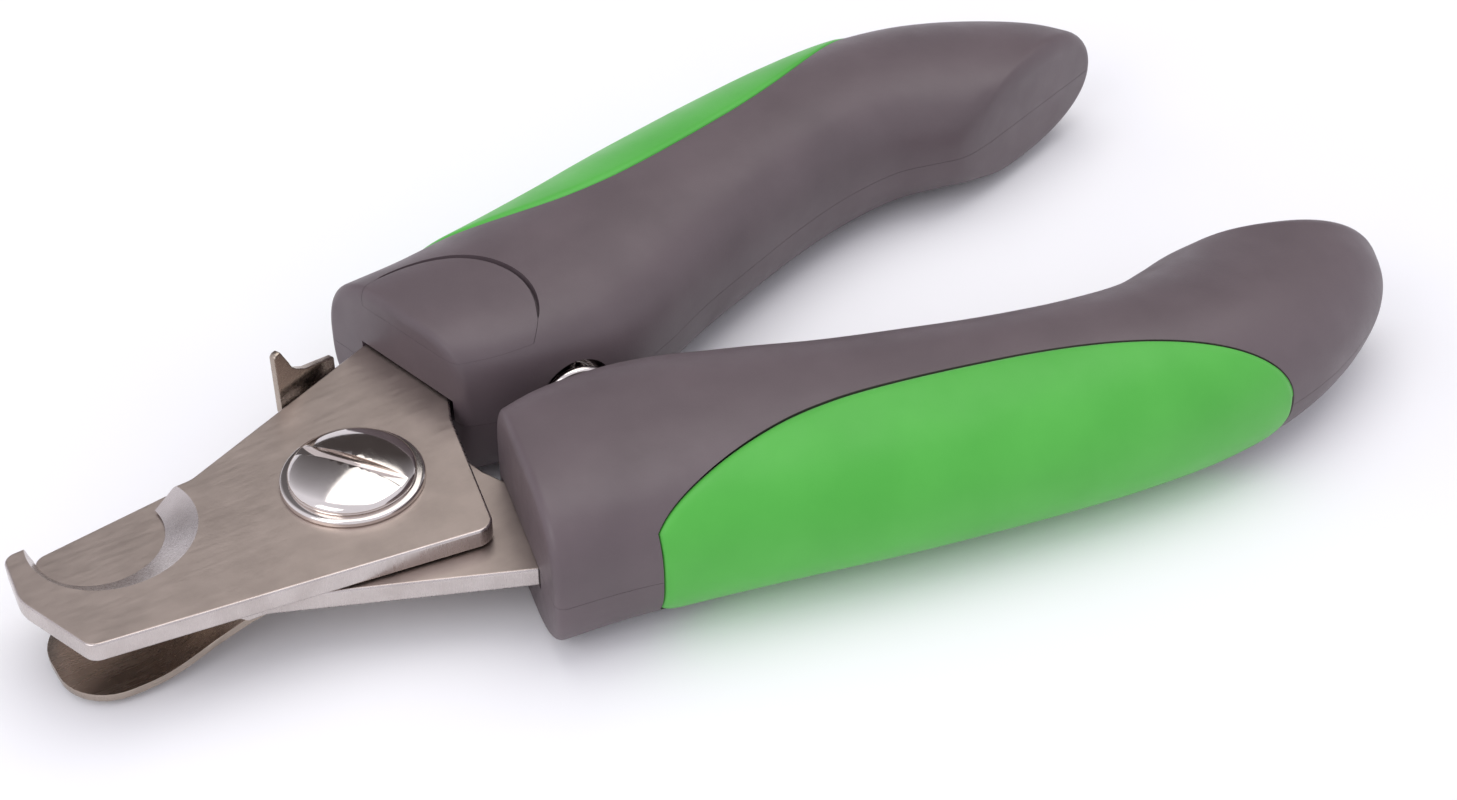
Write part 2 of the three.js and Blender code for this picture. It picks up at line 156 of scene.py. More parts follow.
def turned(name, profile, sides=96):
    """A turned piece about Z, from (radius, height) pairs that start and end on the axis."""
    points = [(0, 0, profile[0][1]), (0, 0, profile[-1][1])]
    for radius, height in profile[1:-1]:
        points += [(x, y, height) for x, y in circle(0, 0, radius, sides)]
    faces = []
    rings = len(profile) - 2
    for j in range(sides):
        after = (j + 1) % sides
        faces.append((0, 2 + after, 2 + j))
        faces.append((1, 2 + (rings - 1) * sides + j, 2 + (rings - 1) * sides + after))
        for i in range(rings - 1):
            low, high = 2 + i * sides, 2 + (i + 1) * sides
            faces.append((low + j, low + after, high + after, high + j))
    return outward(mesh_object(name, points, faces))


def turned_ring(name, profile, sides=96):
    """A turned ring about Z, from (radius, height) pairs round its closed section."""
    angles = np.linspace(0, 2 * math.pi, sides, endpoint=False)
    points = [(r * math.cos(a), r * math.sin(a), h) for a in angles for r, h in profile]
    count = len(profile)
    faces = []
    for i in range(sides):
        low, high = i * count, ((i + 1) % sides) * count
        for j in range(count):
            after = (j + 1) % count
            faces.append((low + j, high + j, high + after, low + after))
    return outward(mesh_object(name, points, faces))


def edit(obj, action):
    """Runs a bmesh action on a mesh object."""
    work = bmesh.new()
    work.from_mesh(obj.data)
    action(work)
    work.to_mesh(obj.data)
    work.free()
    obj.data.update()
    return obj


def outward(obj):
    """Turns every face of a closed mesh to face outwards."""
    return edit(obj, lambda work: bmesh.ops.recalc_face_normals(work, faces=work.faces))


def applied(obj):
    """Makes the result of a piece's modifiers its mesh."""
    view = bpy.context.evaluated_depsgraph_get()
    mesh = bpy.data.meshes.new_from_object(obj.evaluated_get(view))
    obj.modifiers.clear()
    obj.data = mesh
    return obj


def combine(obj, tool, operation):
    """Cuts, joins or intersects a piece with a tool object, which is then removed.

    No cut here takes more than half of a piece's faces, so one that does has gone wrong. It is made
    again with the slower method, which also allows surfaces that cross themselves.
    """
    before = obj.data.copy()
    for careful in (False, True):
        change = obj.modifiers.new("combine", "BOOLEAN")
        change.object = tool
        change.operation = operation
        change.solver = "EXACT"
        change.use_self = careful
        applied(obj)
        kept = len(obj.data.polygons) / len(before.polygons)
        if kept > 0.5 or (operation == "INTERSECT" and kept > 0):
            break
        obj.data = before
    bpy.data.objects.remove(tool)
    return obj


def copy_of(obj, name):
    twin = obj.copy()
    twin.data = obj.data.copy()
    twin.name = name
    bpy.context.collection.objects.link(twin)
    return twin


def crease(obj, degrees):
    """Smooth shading, with edges sharper than the angle kept crisp."""
    def mark(work):
        for face in work.faces:
            face.smooth = True
        for edge in work.edges:
            edge.smooth = edge.calc_face_angle(0) < math.radians(degrees)
    return edit(obj, mark)


def flat_faces(obj):
    """Keeps the large flat faces of a piece flat, so only its narrow rounded edges shade round."""
    weigh = obj.modifiers.new("weigh", "WEIGHTED_NORMAL")
    weigh.keep_sharp = True
    weigh.weight = 100
    return applied(obj)


def rounded_edges(obj, width, segments, degrees=35.0):
    """Rounds the edges that are sharper than the angle."""
    bevel = obj.modifiers.new("edges", "BEVEL")
    bevel.width = width * MM
    bevel.segments = segments
    bevel.limit_method = "ANGLE"
    bevel.angle_limit = math.radians(degrees)
    bevel.harden_normals = False
    return applied(obj)


def prism(name, start, end):
    """A body with flat ends, between two matching rings of points."""
    count = len(start)
    faces = [tuple(range(count - 1, -1, -1)), tuple(range(count, 2 * count))]
    faces += [(j, (j + 1) % count, count + (j + 1) % count, count + j) for j in range(count)]
    return outward(mesh_object(name, [*start, *end], faces, smooth=False))


def slab(name, outline, low, high):
    """A plate with a plan outline, between two heights."""
    return prism(name, [(x, y, low) for x, y in outline], [(x, y, high) for x, y in outline])


def block(name, low, high):
    (x0, y0, z0), (x1, y1, z1) = low, high
    return slab(name, [(x0, y0), (x1, y0), (x1, y1), (x0, y1)], z0, z1)


def drill(obj, x, y, radius, low, high, sides=64):
    return combine(obj, slab("drill", circle(x, y, radius, sides), low, high), "DIFFERENCE")


def rounded(points, steps=8):
    """A plan outline from (x, y, corner radius) points, each corner a true arc."""
    outline = []
    count = len(points)
    for i in range(count):
        here = np.array(points[i][:2], float)
        back = np.array(points[i - 1][:2], float) - here
        ahead = np.array(points[(i + 1) % count][:2], float) - here
        back /= np.linalg.norm(back)
        ahead /= np.linalg.norm(ahead)
        radius = points[i][2]
        half = math.acos(float(np.clip(back @ ahead, -1, 1))) / 2
        middle = here + (back + ahead) / np.linalg.norm(back + ahead) * radius / math.sin(half)
        start = here + back * radius / math.tan(half) - middle
        end = here + ahead * radius / math.tan(half) - middle
        turn = math.atan2(start[0] * end[1] - start[1] * end[0], float(start @ end))
        for k in range(steps + 1):
            a = turn * k / steps
            outline.append((
                middle[0] + start[0] * math.cos(a) - start[1] * math.sin(a),
                middle[1] + start[0] * math.sin(a) + start[1] * math.cos(a),
            ))
    return outline


def tree_of(obj):
    """The surface of a piece, for rays and nearest points."""
    return BVHTree.FromPolygons(
        [v.co for v in obj.data.vertices], [tuple(p.vertices) for p in obj.data.polygons]
    )


def settle(obj, body, slot, material, *nodes):
    """Finishes a piece: its material, the body that it rides on and the CAD nodes that it stands for."""
    if not obj.data.materials:
        obj.data.materials.append(material)
    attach(obj, body)
    if nodes:
        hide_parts(*nodes)
    return obj


# ---------- materials ----------


# The part of a noise's range that colours and roughness are spread over, as most of it lies there.
COLOUR_BAND = (0.35, 0.65)
ROUGHNESS_BAND = (0.3, 0.7)


class Nodes:
    """A small helper that builds one material's node tree."""

    def __init__(self, name):
        self.material = bpy.data.materials.new(name)
        self.material.use_nodes = True
        self.tree = self.material.node_tree
        self.shader = self.tree.nodes["Principled BSDF"]
        self.place = self.add("ShaderNodeTexCoord").outputs["Object"]

    def add(self, kind, **values):
        node = self.tree.nodes.new(kind)
        for key, value in values.items():
            setattr(node, key, value)
        return node

    def link(self, out, socket):
        self.tree.links.new(out, socket)

    def stretched(self, scale):
        """The place, scaled along each axis: a scale under 1 makes features longer along it."""
        node = self.add("ShaderNodeMapping")
        node.inputs["Scale"].default_value = scale
        self.link(self.place, node.inputs["Vector"])
        return node.outputs["Vector"]

    def noise(self, grain, detail=3.0, roughness=0.5, stretch=None):
        """Noise whose features are about the given size in millimetres."""
        node = self.add("ShaderNodeTexNoise")
        node.inputs["Scale"].default_value = 1 / (grain * MM)
        node.inputs["Detail"].default_value = detail
        node.inputs["Roughness"].default_value = roughness
        self.link(self.stretched(stretch) if stretch else self.place, node.inputs["Vector"])
        return node.outputs["Fac"]

    def ramp(self, factor, low, high):
        """A colour between two, following a noise."""
        node = self.add("ShaderNodeValToRGB")
        first, last = node.color_ramp.elements
        first.position, first.color = COLOUR_BAND[0], (*low, 1)
        last.position, last.color = COLOUR_BAND[1], (*high, 1)
        self.link(factor, node.inputs["Fac"])
        return node.outputs["Color"]

    def span(self, factor, low, high):
        """A value between two, following a noise."""
        node = self.add("ShaderNodeMapRange")
        node.inputs["From Min"].default_value = ROUGHNESS_BAND[0]
        node.inputs["From Max"].default_value = ROUGHNESS_BAND[1]
        node.inputs["To Min"].default_value = low
        node.inputs["To Max"].default_value = high
        self.link(factor, node.inputs["Value"])
        return node.outputs["Result"]

    def bump(self, heights):
        """Chains bumps from (factor, depth in millimetres, strength) rows."""
        normal = None
        for factor, depth, strength in heights:
            node = self.add("ShaderNodeBump")
            node.inputs["Distance"].default_value = depth * MM
            node.inputs["Strength"].default_value = strength
            self.link(factor, node.inputs["Height"])
            if normal:
                self.link(normal, node.inputs["Normal"])
            normal = node.outputs["Normal"]
        self.link(normal, self.shader.inputs["Normal"])

    def set(self, **values):
        for key, value in values.items():
            self.shader.inputs[key.replace("_", " ")].default_value = value

    def colour(self, out):
        self.link(out, self.shader.inputs["Base Color"])

    def roughness(self, out):
        self.link(out, self.shader.inputs["Roughness"])


def handle_plastic():
    """Matte moulded plastic, purple-grey, with a fine spark-eroded grain and faint rubbing."""
    n = Nodes("handle_plastic")
    n.colour(n.ramp(n.noise(9.0, 5), (0.100, 0.075, 0.083), (0.118, 0.089, 0.098)))
    n.roughness(n.span(n.noise(4.0, 6, 0.6), 0.38, 0.5))
    n.set(IOR=1.5, Specular_IOR_Level=0.5)
    n.bump([(n.noise(0.22, 4, 0.6), 0.03, 0.5), (n.noise(6.0, 2), 0.05, 0.25)])
    return n.material


def soft_green():
    """Soft matte rubber, green, with a finer and silkier grain."""
    n = Nodes("soft_green")
    n.colour(n.ramp(n.noise(12.0, 4), (0.060, 0.385, 0.038), (0.076, 0.430, 0.050)))
    n.roughness(n.span(n.noise(5.0, 5, 0.6), 0.42, 0.55))
    n.set(IOR=1.48, Subsurface_Weight=0.06, Subsurface_Radius=(0.002, 0.004, 0.001))
    n.set(Subsurface_Scale=0.3, Sheen_Weight=0.12, Sheen_Roughness=0.5)
    n.bump([(n.noise(0.16, 3, 0.6), 0.02, 0.45), (n.noise(8.0, 2), 0.06, 0.2)])
    return n.material


def blade_steel():
    """Satin blasted stainless steel, faintly mottled, with fine lines along the tool."""
    n = Nodes("blade_steel")
    n.colour(n.ramp(n.noise(5.0, 6, 0.6), (0.44, 0.37, 0.335), (0.51, 0.43, 0.39)))
    n.roughness(n.span(n.noise(0.5, 5, 0.7, (0.15, 1.0, 1.0)), 0.34, 0.47))
    n.set(Metallic=1.0)
    n.bump([
        (n.noise(0.12, 4, 0.7), 0.008, 0.35),
        (n.noise(0.35, 3, 0.6, (0.06, 1.0, 1.0)), 0.006, 0.25),
    ])
    return n.material


def ground_steel():
    """Freshly ground edge of a blade, brighter than the blasted faces, with fine grinding lines."""
    n = Nodes("ground_steel")
    n.colour(n.ramp(n.noise(3.0, 4), (0.50, 0.45, 0.43), (0.58, 0.53, 0.51)))
    n.roughness(n.span(n.noise(0.3, 4, 0.6, (1.0, 1.0, 0.1)), 0.22, 0.34))
    n.set(Metallic=1.0)
    n.bump([(n.noise(0.15, 3, 0.6, (1.0, 1.0, 0.05)), 0.006, 0.35)])
    return n.material


def guard_steel():
    """Bright rolled spring steel sheet with faint rolling lines."""
    n = Nodes("guard_steel")
    n.colour(n.ramp(n.noise(6.0, 5), (0.38, 0.32, 0.27), (0.45, 0.385, 0.33)))
    n.roughness(n.span(n.noise(0.6, 5, 0.7, (0.08, 1.0, 1.0)), 0.20, 0.32))
    n.set(Metallic=1.0)
    n.bump([(n.noise(0.3, 3, 0.6, (0.05, 1.0, 1.0)), 0.005, 0.3)])
    return n.material


def bright_steel():
    """Polished plated steel with hairline handling marks."""
    n = Nodes("bright_steel")
    n.colour(n.ramp(n.noise(4.0, 3), (0.72, 0.67, 0.64), (0.78, 0.73, 0.70)))
    n.roughness(n.span(n.noise(0.5, 6, 0.75, (1.0, 0.2, 1.0)), 0.06, 0.13))
    n.set(Metallic=1.0)
    n.bump([(n.noise(2.2, 3), 0.02, 0.18), (n.noise(0.2, 4, 0.7, (1.0, 0.1, 1.0)), 0.003, 0.2)])
    return n.material


def plain_steel():
    """Plain turned steel with lathe lines round it."""
    n = Nodes("plain_steel")
    n.colour(n.ramp(n.noise(1.5, 4), (0.33, 0.31, 0.30), (0.41, 0.39, 0.38)))
    n.roughness(n.span(n.noise(0.4, 4, 0.6), 0.32, 0.46))
    n.set(Metallic=1.0)
    n.bump([(n.noise(0.15, 3, 0.6, (0.1, 0.1, 1.0)), 0.006, 0.4)])
    return n.material


PLASTIC = handle_plastic()
GREEN = soft_green()
STEEL = blade_steel()
GROUND = ground_steel()
GUARD = guard_steel()
BRIGHT = bright_steel()
PLAIN = plain_steel()

# ---------- handle surface ----------

# The plan of the far handle: its edge towards the near handle and its outer edge, front to hook.
INNER_RAIL = [
    (13.7, 3.4), (19, 2.0), (27, 1.6), (33, 2.4), (38, 4.4), (45, 7.8), (53, 11.0),
    (61, 14.0), (69, 16.3), (76.5, 17.2), (81, 16.4), (84.5, 15.7), (88, 16.2),
]
OUTER_RAIL = [
    (8.6, 24.4), (16, 25.6), (25, 28.0), (34, 30.6), (43, 33.0), (52, 34.9), (61, 36.6),
    (70, 37.9), (80, 38.5), (90, 37.4), (99, 34.3), (106.5, 29.5), (110.3, 23.6),
]
# Where along the handle it starts to thin towards the hook, and where its front shape has faded.
END_START = 0.62
FRONT_FADE = 0.3
# The power of each side's superellipse, at the front and behind: 2 is round, and more is squarer.
INNER_SQUARENESS = (4.2, 2.5)
OUTER_SQUARENESS = (2.7, 2.2)


def rail(points):
    """A centripetal Catmull-Rom curve through plan points, as a function of t from 0 to 1."""
    p = np.array(points, float)
    p = np.vstack([2 * p[0] - p[1], p, 2 * p[-1] - p[-2]])
    spans = len(points) - 1

    def at(t):
        s = np.clip(t, 0, 1) * spans
        i = np.minimum(s.astype(int), spans - 1)
        w = (s - i)[..., None]
        p0, p1, p2, p3 = p[i], p[i + 1], p[i + 2], p[i + 3]
        d0, d1, d2 = (np.sqrt(np.linalg.norm(b - a, axis=-1))[..., None]
                      for a, b in ((p0, p1), (p1, p2), (p2, p3)))
        leave = ((p1 - p0) / d0 - (p2 - p0) / (d0 + d1) + (p2 - p1) / d1) * d1
        arrive = ((p2 - p1) / d1 - (p3 - p1) / (d1 + d2) + (p3 - p2) / d2) * d1
        square = -3 * p1 + 3 * p2 - 2 * leave - arrive
        cube = 2 * p1 - 2 * p2 + leave + arrive
        return p1 + w * (leave + w * (square + w * cube))

    return at


INNER = rail(INNER_RAIL)
OUTER = rail(OUTER_RAIL)


def smoothstep(x, low, high):
    s = np.clip((x - low) / (high - low), 0, 1)
    return s * s * (3 - 2 * s)


def handle_point(t, phi, grow=0.0):
    """Points of the far handle at station t and angle phi about the section, swollen by grow."""
    t, phi, grow = np.broadcast_arrays(*(np.asarray(v, float) for v in (t, phi, grow)))
    inner, outer = INNER(t), OUTER(t)
    across = outer - inner
    width = np.linalg.norm(across, axis=-1)
    flat = smoothstep(t, END_START, 1)
    above = RISE + (END_RISE - RISE) * flat
    below = DROP + (END_DROP - DROP) * flat
    height = np.where(np.sin(phi) > 0, above, below)
    eased = smoothstep(t, 0, FRONT_FADE)
    outer_n = OUTER_SQUARENESS[0] + (OUTER_SQUARENESS[1] - OUTER_SQUARENESS[0]) * eased
    inner_n = INNER_SQUARENESS[0] + (INNER_SQUARENESS[1] - INNER_SQUARENESS[0]) * eased
    power = 2 / np.where(np.cos(phi) > 0, outer_n, inner_n)
    sideways = np.sign(np.cos(phi)) * np.abs(np.cos(phi)) ** power
    upwards = np.sign(np.sin(phi)) * np.abs(np.sin(phi)) ** power
    plan = (inner + outer) / 2 + across / width[..., None] * ((width / 2 + grow) * sideways)[..., None]
    return np.concatenate([plan, (MID + (height + grow) * upwards)[..., None]], axis=-1)


BODY_STATIONS = 150
BODY_SIDES = 128
ROUND_RINGS = 7
# How each end is rounded over: by how much the section shrinks, over what share of the length.
FRONT_ROUND = (1.1, 0.012)
END_ROUND = (2.0, 0.03)


def handle_body(name):
    """The outer body of the far handle, with its ends rounded over."""
    turn = np.linspace(0, math.pi / 2, ROUND_RINGS, endpoint=False)
    shrink, length = FRONT_ROUND
    front = [(length * (1 - math.cos(a)), -shrink * (1 - math.sin(a))) for a in turn]
    middle = [(t, 0) for t in np.linspace(FRONT_ROUND[1], 1 - END_ROUND[1], BODY_STATIONS)]
    shrink, length = END_ROUND
    end = [(1 - length * (1 - math.cos(a)), -shrink * (1 - math.sin(a))) for a in turn[::-1]]
    stations = np.array(front + middle + end)
    phi = np.linspace(0, 2 * math.pi, BODY_SIDES, endpoint=False)
    return loft(name, handle_point(stations[:, :1], phi[None, :], stations[:, 1:]))


# ---------- inlays ----------

INLAY_START = 0.112
INLAY_WIDEST = 0.483
INLAY_END = 0.715
INLAY_WRAP = math.radians(84)
INLAY_STATIONS = 120
INLAY_ARCS = 48
# For the front and the rear of the outline: how nearly it closes, the power of its taper and of its end.
INLAY_FRONT = (0.975, 2, 0.38)
INLAY_REAR = (0.999, 3, 0.5)
# What a margin of 1 mm adds to the angle and to the share of the length.
MARGIN_ANGLE = 0.09
MARGIN_LENGTH = 0.01
INLAY_PROUD = 0.2
INLAY_DEPTH = 1.2
INLAY_ROLL = 0.9
RIM_DROP = 0.55
RECESS_HEIGHT = 2.0
SEAM = 0.1


def inlay_grid(margin):
    """Stations and angles over the inlay's outline, widened by a margin in millimetres."""
    s = (1 - np.cos(np.linspace(0, math.pi, INLAY_STATIONS + 1))) / 2
    t = INLAY_START + (INLAY_END - INLAY_START) * s
    wrap = INLAY_WRAP
    for (closed, taper, power), end in ((INLAY_FRONT, INLAY_START), (INLAY_REAR, INLAY_END)):
        away = np.clip(closed * (t - INLAY_WIDEST) / (end - INLAY_WIDEST), 0, 1)
        wrap = wrap * (1 - away ** taper) ** power
    wrap = wrap + margin * MARGIN_ANGLE
    stretch = margin * MARGIN_LENGTH
    t = INLAY_START - stretch + (INLAY_END - INLAY_START + 2 * stretch) * s
    share = np.sin(np.linspace(-math.pi / 2, math.pi / 2, INLAY_ARCS + 1))
    return t[:, None], wrap[:, None] * share[None, :]


def inlay_recess(name):
    t, phi = inlay_grid(SEAM)
    skin = handle_point(t, phi, RECESS_HEIGHT)
    back = handle_point(t, phi, -INLAY_DEPTH - SEAM)
    return thick_patch(name, skin, back)


def inlay_piece(name):
    """The inlay, proud of the handle in the middle and rolled over at its rim."""
    t, phi = inlay_grid(0)
    flush = handle_point(t, phi)
    rim = np.concatenate([flush[0], flush[-1], flush[:, 0], flush[:, -1]])
    gap = np.full(flush.shape[:2], np.inf)
    for point in rim:
        gap = np.minimum(gap, np.linalg.norm(flush - point, axis=-1))
    roll = np.clip(gap / INLAY_ROLL, 0, 1)
    lift = INLAY_PROUD - RIM_DROP * (1 - np.sqrt(1 - (1 - roll) ** 2))
    skin = handle_point(t, phi, lift)
    back = handle_point(t, phi, -INLAY_DEPTH)
    return thick_patch(name, skin, back)


# ---------- tang covers ----------

COVER_CENTRE = (15.5, 10.2)
COVER_RADIUS = 9.4
COVER_DEPTH = 2.2
COVER_SEAM = 0.02
GROOVE_ARC = (math.radians(-32), math.radians(108))
GROOVE_RADIUS = 0.34
GROOVE_DEPTH = 0.9
GROOVE_STATIONS = 61
GROOVE_SIDES = 10
# How the groove tapers: its thinnest share, and the power that keeps its middle wide.
GROOVE_TAPER = (0.12, 0.35)
RAY_START = 40.0


def surface_height(tree, x, y, side):
    """Height of the handle's outer skin above a plan point, on the side that its cover is on."""
    start = Vector((x * MM, y * MM, (MID + side * RAY_START) * MM))
    hit = tree.ray_cast(start, Vector((0, 0, -side)))[0]
    return hit.z / MM if hit else None


def cover_groove(tree, side):
    """A tapering round groove along the cover's rear edge, laid on the handle's skin."""
    rings = []
    thinnest, power = GROOVE_TAPER
    for s in np.linspace(0, 1, GROOVE_STATIONS):
        a = GROOVE_ARC[0] + (GROOVE_ARC[1] - GROOVE_ARC[0]) * s
        out = Vector((math.cos(a), math.sin(a), 0))
        x, y = COVER_CENTRE[0] + COVER_RADIUS * out.x, COVER_CENTRE[1] + COVER_RADIUS * out.y
        height = surface_height(tree, x, y, side)
        if height is None:
            continue
        share = max(thinnest, math.sin(math.pi * s) ** power)
        radius = GROOVE_RADIUS * share
        rings.append([
            (x + out.x * radius * c, y + out.y * radius * c, height + GROOVE_DEPTH * share * u)
            for c, u in circle(0, 0, 1, GROOVE_SIDES)
        ])
    return loft("groove", rings)


# ---------- blades ----------

# Plan outlines, each point with its corner radius. Both blades are the same behind the notch.
BLADE_BACK = [
    (-29.6, -8.1, 1.6), (8.4, -13.3, 1.8), (12.2, 3.2, 0.6), (15.2, 9.9, 0.8), (22, 11, 1.5),
    (50, 18.8, 2), (48.4, 24.4, 2), (22, 18.6, 1.5), (10, 18.4, 0.5), (-13.2, 8.35, 3),
]
UPPER_BLADE = [*BLADE_BACK, (-32.2, 7.4, 1.3), (-32.9, 1.0, 5)]
LOWER_BLADE = [*BLADE_BACK, (-28.6, 7.6, 1.2), (-30.0, 0.0, 3)]
# The notch as circles (x, y, radius): the cutting edge below and the rim of its bevel on top.
NOTCH_EDGE = (-23.3, 7.0, 6.2)
NOTCH_BEVEL = (-22.3, 5.4, 8.1)
NOTCH_SIDES = 160
NOTCH_LAND = 0.12
BLADE_EDGE = 0.28
BEVEL_MARGIN = 0.3
# A face counts as ground or sheared where its normal's share along Z is under these.
BEVEL_TILT = 0.96
SIDE_TILT = 0.9
PIVOT_RADIUS = 3.0
PIVOT_GAP = 0.1
TANG_PINS = [(24, 15), (43, 20.3)]
TANG_PIN_RADIUS = 1.5
PIN_REACH = 5.3
PIN_SIDES = 32
SLOT_GAP = 0.3


def widened(points, margin):
    """An outline moved outwards by a margin."""
    moved = []
    for i, (x, y, radius) in enumerate(points):
        here = Vector((x, y))
        arriving = (here - Vector(points[i - 1][:2])).normalized()
        leaving = (Vector(points[(i + 1) % len(points)][:2]) - here).normalized()
        normal = Vector((arriving.y, -arriving.x))
        bisector = (normal + Vector((leaving.y, -leaving.x))).normalized()
        moved.append((*(here + bisector * margin / bisector.dot(normal)), radius))
    return moved


def notch_cone():
    """A slanting cone through the cutting edge and the rim of the bevel, carried on past both faces."""
    start, end = np.array(NOTCH_EDGE), np.array(NOTCH_BEVEL)
    edge = BLADE_TOP - SHEET
    top = (BLADE_TOP + BEYOND, 1 + BEYOND / SHEET)
    rings = []
    for height, share in ((edge - BEYOND, 0), (edge + NOTCH_LAND, 0), top):
        ring = circle(*(start + (end - start) * share), NOTCH_SIDES)
        rings.append([(x, y, height) for x, y in ring])
    return loft("cone", rings)


def ground_faces(obj):
    """Gives the ground bevel of the notch and the sheared sides their brighter steel."""
    obj.data.materials.append(STEEL)
    obj.data.materials.append(GROUND)
    x, y, radius = NOTCH_BEVEL
    for face in obj.data.polygons:
        from_notch = math.hypot(face.center.x / MM - x, abs(face.center.y / MM) - y)
        tilt = BEVEL_TILT if from_notch < radius + BEVEL_MARGIN else SIDE_TILT
        if abs(face.normal.z) < tilt:
            face.material_index = 1


def blade(name, outline):
    """A stamped blade with softened edges, its notch ground afterwards so that the edge stays sharp."""
    low = BLADE_TOP - SHEET
    piece = slab(name, rounded(outline, 10), low, BLADE_TOP)
    rounded_edges(piece, BLADE_EDGE, 4)
    combine(piece, notch_cone(), "DIFFERENCE")
    through = (low - BEYOND, BLADE_TOP + BEYOND)
    drill(piece, 0, 0, PIVOT_RADIUS + PIVOT_GAP, *through)
    for x, y in TANG_PINS:
        drill(piece, x, y, TANG_PIN_RADIUS + SLOT_GAP, *through, PIN_SIDES)
    return piece


def finish_blade(piece, body, node):
    flat_faces(crease(piece, 28))
    ground_faces(piece)
    settle(piece, body, "blade_steel", STEEL, node)


def turn_over(obj):
    """Turns a piece over about the length of the tool, at the plane between the blades."""
    def turn(work):
        for vertex in work.verts:
            vertex.co.y = -vertex.co.y
            vertex.co.z = 2 * MID * MM - vertex.co.z
    return edit(obj, turn)


def blades():
    finish_blade(blade("upper_blade_piece", UPPER_BLADE), "far_half", "upper_blade")
    finish_blade(turn_over(blade("lower_blade_piece", LOWER_BLADE)), "near_half", "lower_blade")


# ---------- handles ----------


SHELL_SEAM = 0.02
SPRING_X = 25.5
POCKET_RADIUS = 4.4
POCKET_DEPTH = 9.0
# Plan corners of the room that the far handle is in, with space to spare.
HANDLE_ROOM = ((-10, -10), (200, 60))
COVER_REACH = 5
PAST_PARTING = 0.5
# A point this near to the uncut skin is on it, and a face there is part of it if it faces the same way.
ON_SKIN = 0.02
SAME_WAY = 0.8


def skin_shading(obj, skin, tree):
    """Shades what is left of the outer skin exactly like the uncut body, whatever was cut out of it."""
    near = []
    for vertex in obj.data.vertices:
        place, _, index, distance = tree.find_nearest(vertex.co)
        if distance > ON_SKIN * MM:
            near.append(None)
            continue
        corners = skin.data.polygons[index].vertices
        weights = poly_3d_calc([skin.data.vertices[c].co for c in corners], place)
        normal = Vector((0, 0, 0))
        for corner, weight in zip(corners, weights):
            normal += skin.data.vertices[corner].normal * weight
        near.append(normal.normalized())
    crease(obj, 35)
    normals = [(0.0, 0.0, 0.0)] * len(obj.data.loops)
    for face in obj.data.polygons:
        for loop in face.loop_indices:
            normal = near[obj.data.loops[loop].vertex_index]
            if normal is not None and normal.dot(face.normal) > SAME_WAY:
                normals[loop] = tuple(normal)
    obj.data.normals_split_custom_set(normals)


def spring_pocket():
    """The round room for the spring, through the inner walls of both handles."""
    ring = circle(SPRING_X, MID, POCKET_RADIUS, 64)
    ends = ([(x, y, z) for x, z in ring] for y in (-POCKET_DEPTH, POCKET_DEPTH))
    return prism("pocket", *ends)


def cover_zone(name, radius, side, depth):
    """The round room of a tang cover, from its underside to well past the handle's skin."""
    face = MID + RISE if side > 0 else MID - DROP
    ends = sorted((face - side * depth, face + side * COVER_REACH))
    return slab(name, circle(*COVER_CENTRE, radius, 144), *ends)


def half_space(which):
    """The room above or below the parting plane, as far out as the handle reaches."""
    if which == "upper":
        low, high = MID + SHELL_SEAM, MID + 2 * RISE
    else:
        low, high = MID - 2 * DROP, MID - SHELL_SEAM
    near, far = HANDLE_ROOM
    return block(f"{which}_half", (*near, low), (*far, high))


def tang_slot(side):
    """The slot that holds the tang, from the parting plane to just past the blade's face."""
    ends = sorted((MID - side * PAST_PARTING, MID + side * (BLADE_TOP - MID + SLOT_GAP)))
    return slab("tang", rounded(widened(UPPER_BLADE, SLOT_GAP)), *ends)


def mirror_piece(obj):
    """Mirrors a piece across the plane between the handles."""
    def mirror(work):
        for vertex in work.verts:
            vertex.co.y = -vertex.co.y
        bmesh.ops.reverse_faces(work, faces=work.faces)
    return edit(obj, mirror)


def handle(label):
    """The shells, tang cover and inlay of one handle, built as the far one and mirrored if near."""
    side = SIDES[label]
    body_name = f"{label}_half"
    skin = handle_body("skin")
    tree = tree_of(skin)
    body = combine(copy_of(skin, "body"), cover_groove(tree, side), "DIFFERENCE")
    cover = copy_of(body, f"{label}_tang_cover_piece")
    combine(cover, cover_zone("zone", COVER_RADIUS - COVER_SEAM, side, COVER_DEPTH), "INTERSECT")
    pieces = [(cover, f"{label}_tang_cover")]
    for which in ("upper", "lower"):
        shell = copy_of(body, f"{label}_{which}_shell_piece")
        combine(shell, half_space(which), "INTERSECT")
        if which == ("upper" if side > 0 else "lower"):
            room = cover_zone("hole", COVER_RADIUS + COVER_SEAM, side, COVER_DEPTH + COVER_SEAM)
            combine(shell, room, "DIFFERENCE")
            combine(shell, tang_slot(side), "DIFFERENCE")
        combine(shell, spring_pocket(), "DIFFERENCE")
        for x, y in TANG_PINS:
            radius = TANG_PIN_RADIUS + SLOT_GAP
            drill(shell, x, y, radius, MID - PIN_REACH, MID + PIN_REACH, PIN_SIDES)
        combine(shell, inlay_recess("recess"), "DIFFERENCE")
        pieces.append((shell, f"{label}_handle_{which}_shell"))
    for piece, _ in pieces:
        skin_shading(piece, skin, tree)
    inlay = inlay_piece(f"{label}_inlay_piece")
    crease(inlay, 50)
    bpy.data.objects.remove(body)
    bpy.data.objects.remove(skin)
    for piece, node in pieces:
        if side < 0:
            mirror_piece(piece)
        settle(piece, body_name, "handle_plastic", PLASTIC, node)
    if side < 0:
        mirror_piece(inlay)
    settle(inlay, body_name, "soft_green", GREEN, f"{label}_grip_inlay")


# ---------- pivot ----------

